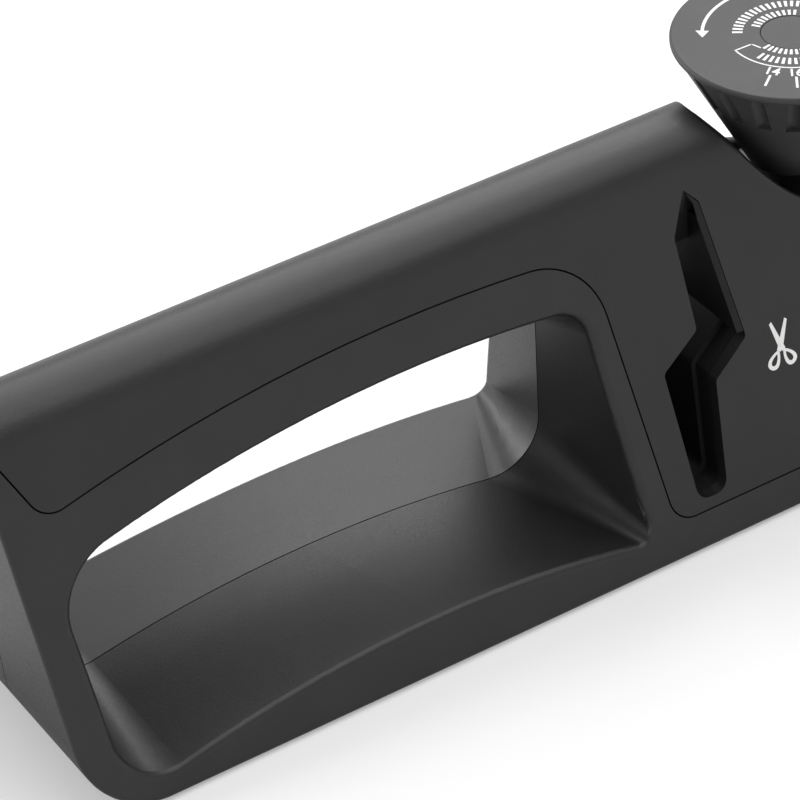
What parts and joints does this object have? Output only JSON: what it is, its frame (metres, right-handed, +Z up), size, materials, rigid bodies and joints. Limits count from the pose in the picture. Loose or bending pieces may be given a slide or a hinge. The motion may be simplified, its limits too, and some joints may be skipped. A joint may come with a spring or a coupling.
{
  "type": "pull-through knife sharpener",
  "caption": "Black pull-through sharpener with a bar handle, a sunk angle dial, knife slots over crossed levers and a zigzag scissors slot.",
  "frame": {"origin": "on the table, under the middle of the body", "axes": "+X along the body from the handle to the knife slots, +Y from front to rear, +Z up"},
  "size_m": [0.242, 0.0586, 0.0805],
  "materials": {
    "shell_plastic": "fine moulded texture",
    "dial_plastic": "fine moulded texture",
    "guide_plastic": "satin",
    "inner_plastic": "satin",
    "zinc_steel": "zinc plated",
    "spring_steel": "bright",
    "carbide": "ground",
    "stone": "matt, unglazed",
    "bush": "turned",
    "foot_rubber": "matt"
  },
  "bodies": {
    "body": {"top_cover": "shell_plastic", "frame_front": "shell_plastic", "frame_rear": "shell_plastic", "base_plate": "shell_plastic", "scissors_guide": "guide_plastic", "scissor_rod_upper": "stone", "scissor_rod_lower": "stone", "chassis": "inner_plastic", "upper_bush": "guide_plastic", "lower_bush": "bush", "click_spring": "spring_steel", "base_screws": "zinc_steel", "frame_screws": "zinc_steel", "chassis_screws": "zinc_steel", "shell_screws": "zinc_steel", "foot_front_left": "foot_rubber", "foot_rear_left": "foot_rubber", "foot_front_right": "foot_rubber", "foot_rear_right": "foot_rubber", "coarse_slot_guide": "guide_plastic", "coarse_pivot_pin": "zinc_steel", "fine_slot_guide": "guide_plastic", "fine_pivot_pin": "zinc_steel"},
    "spindle": {"spindle": "inner_plastic", "index_wheel": "inner_plastic", "spindle_clip": "spring_steel", "knob_screw": "zinc_steel", "return_spring": "spring_steel"},
    "knob": {"knob": "dial_plastic", "knob_cap": "dial_plastic"},
    "lift_bar": {"lift_bar": "inner_plastic"},
    "coarse_left_lever_set": {"coarse_left_lever": "inner_plastic", "coarse_left_blade": "carbide"},
    "coarse_right_lever_set": {"coarse_right_lever": "inner_plastic", "coarse_right_blade": "carbide"},
    "fine_left_lever_set": {"fine_left_lever": "inner_plastic", "fine_left_stone": "stone"},
    "fine_right_lever_set": {"fine_right_lever": "inner_plastic", "fine_right_stone": "stone"}
  },
  "joints": [
    {"name": "knob_turn", "type": "hinge", "parent": "body", "child": "spindle", "pos_m": [0.0497, 0, 0], "axis": [0, 0, 1], "range_deg": [-36, 54]},
    {"name": "knob_press", "type": "slide", "parent": "spindle", "child": "knob", "axis": [0, 0, -1], "range_m": [0, 0.0025], "stiffness_N_per_m": 1100, "springref_m": -0.002, "deforming": ["return_spring"]},
    {"name": "lift_slide", "type": "slide", "parent": "body", "child": "lift_bar", "axis": [0, 0, 1], "range_m": [-0.0018, 0.0012]},
    {"name": "coarse_left_tilt", "type": "hinge", "parent": "body", "child": "coarse_left_lever_set", "pos_m": [0.0857, 0, 0.044], "axis": [0, -1, 0], "range_deg": [-6, 4]},
    {"name": "coarse_right_tilt", "type": "hinge", "parent": "body", "child": "coarse_right_lever_set", "pos_m": [0.0857, 0, 0.044], "axis": [0, 1, 0], "range_deg": [-6, 4]},
    {"name": "fine_left_tilt", "type": "hinge", "parent": "body", "child": "fine_left_lever_set", "pos_m": [0.1037, 0, 0.044], "axis": [0, -1, 0], "range_deg": [-6, 4]},
    {"name": "fine_right_tilt", "type": "hinge", "parent": "body", "child": "fine_right_lever_set", "pos_m": [0.1037, 0, 0.044], "axis": [0, 1, 0], "range_deg": [-6, 4]}
  ],
  "couplings": [
    {"joint": "lift_slide", "follows": "knob_turn", "m_per_rad": -0.0019099},
    {"joint": "coarse_left_tilt", "follows": "knob_turn", "ratio": -0.11111},
    {"joint": "coarse_right_tilt", "follows": "knob_turn", "ratio": -0.11111},
    {"joint": "fine_left_tilt", "follows": "knob_turn", "ratio": -0.11111},
    {"joint": "fine_right_tilt", "follows": "knob_turn", "ratio": -0.11111}
  ]
}
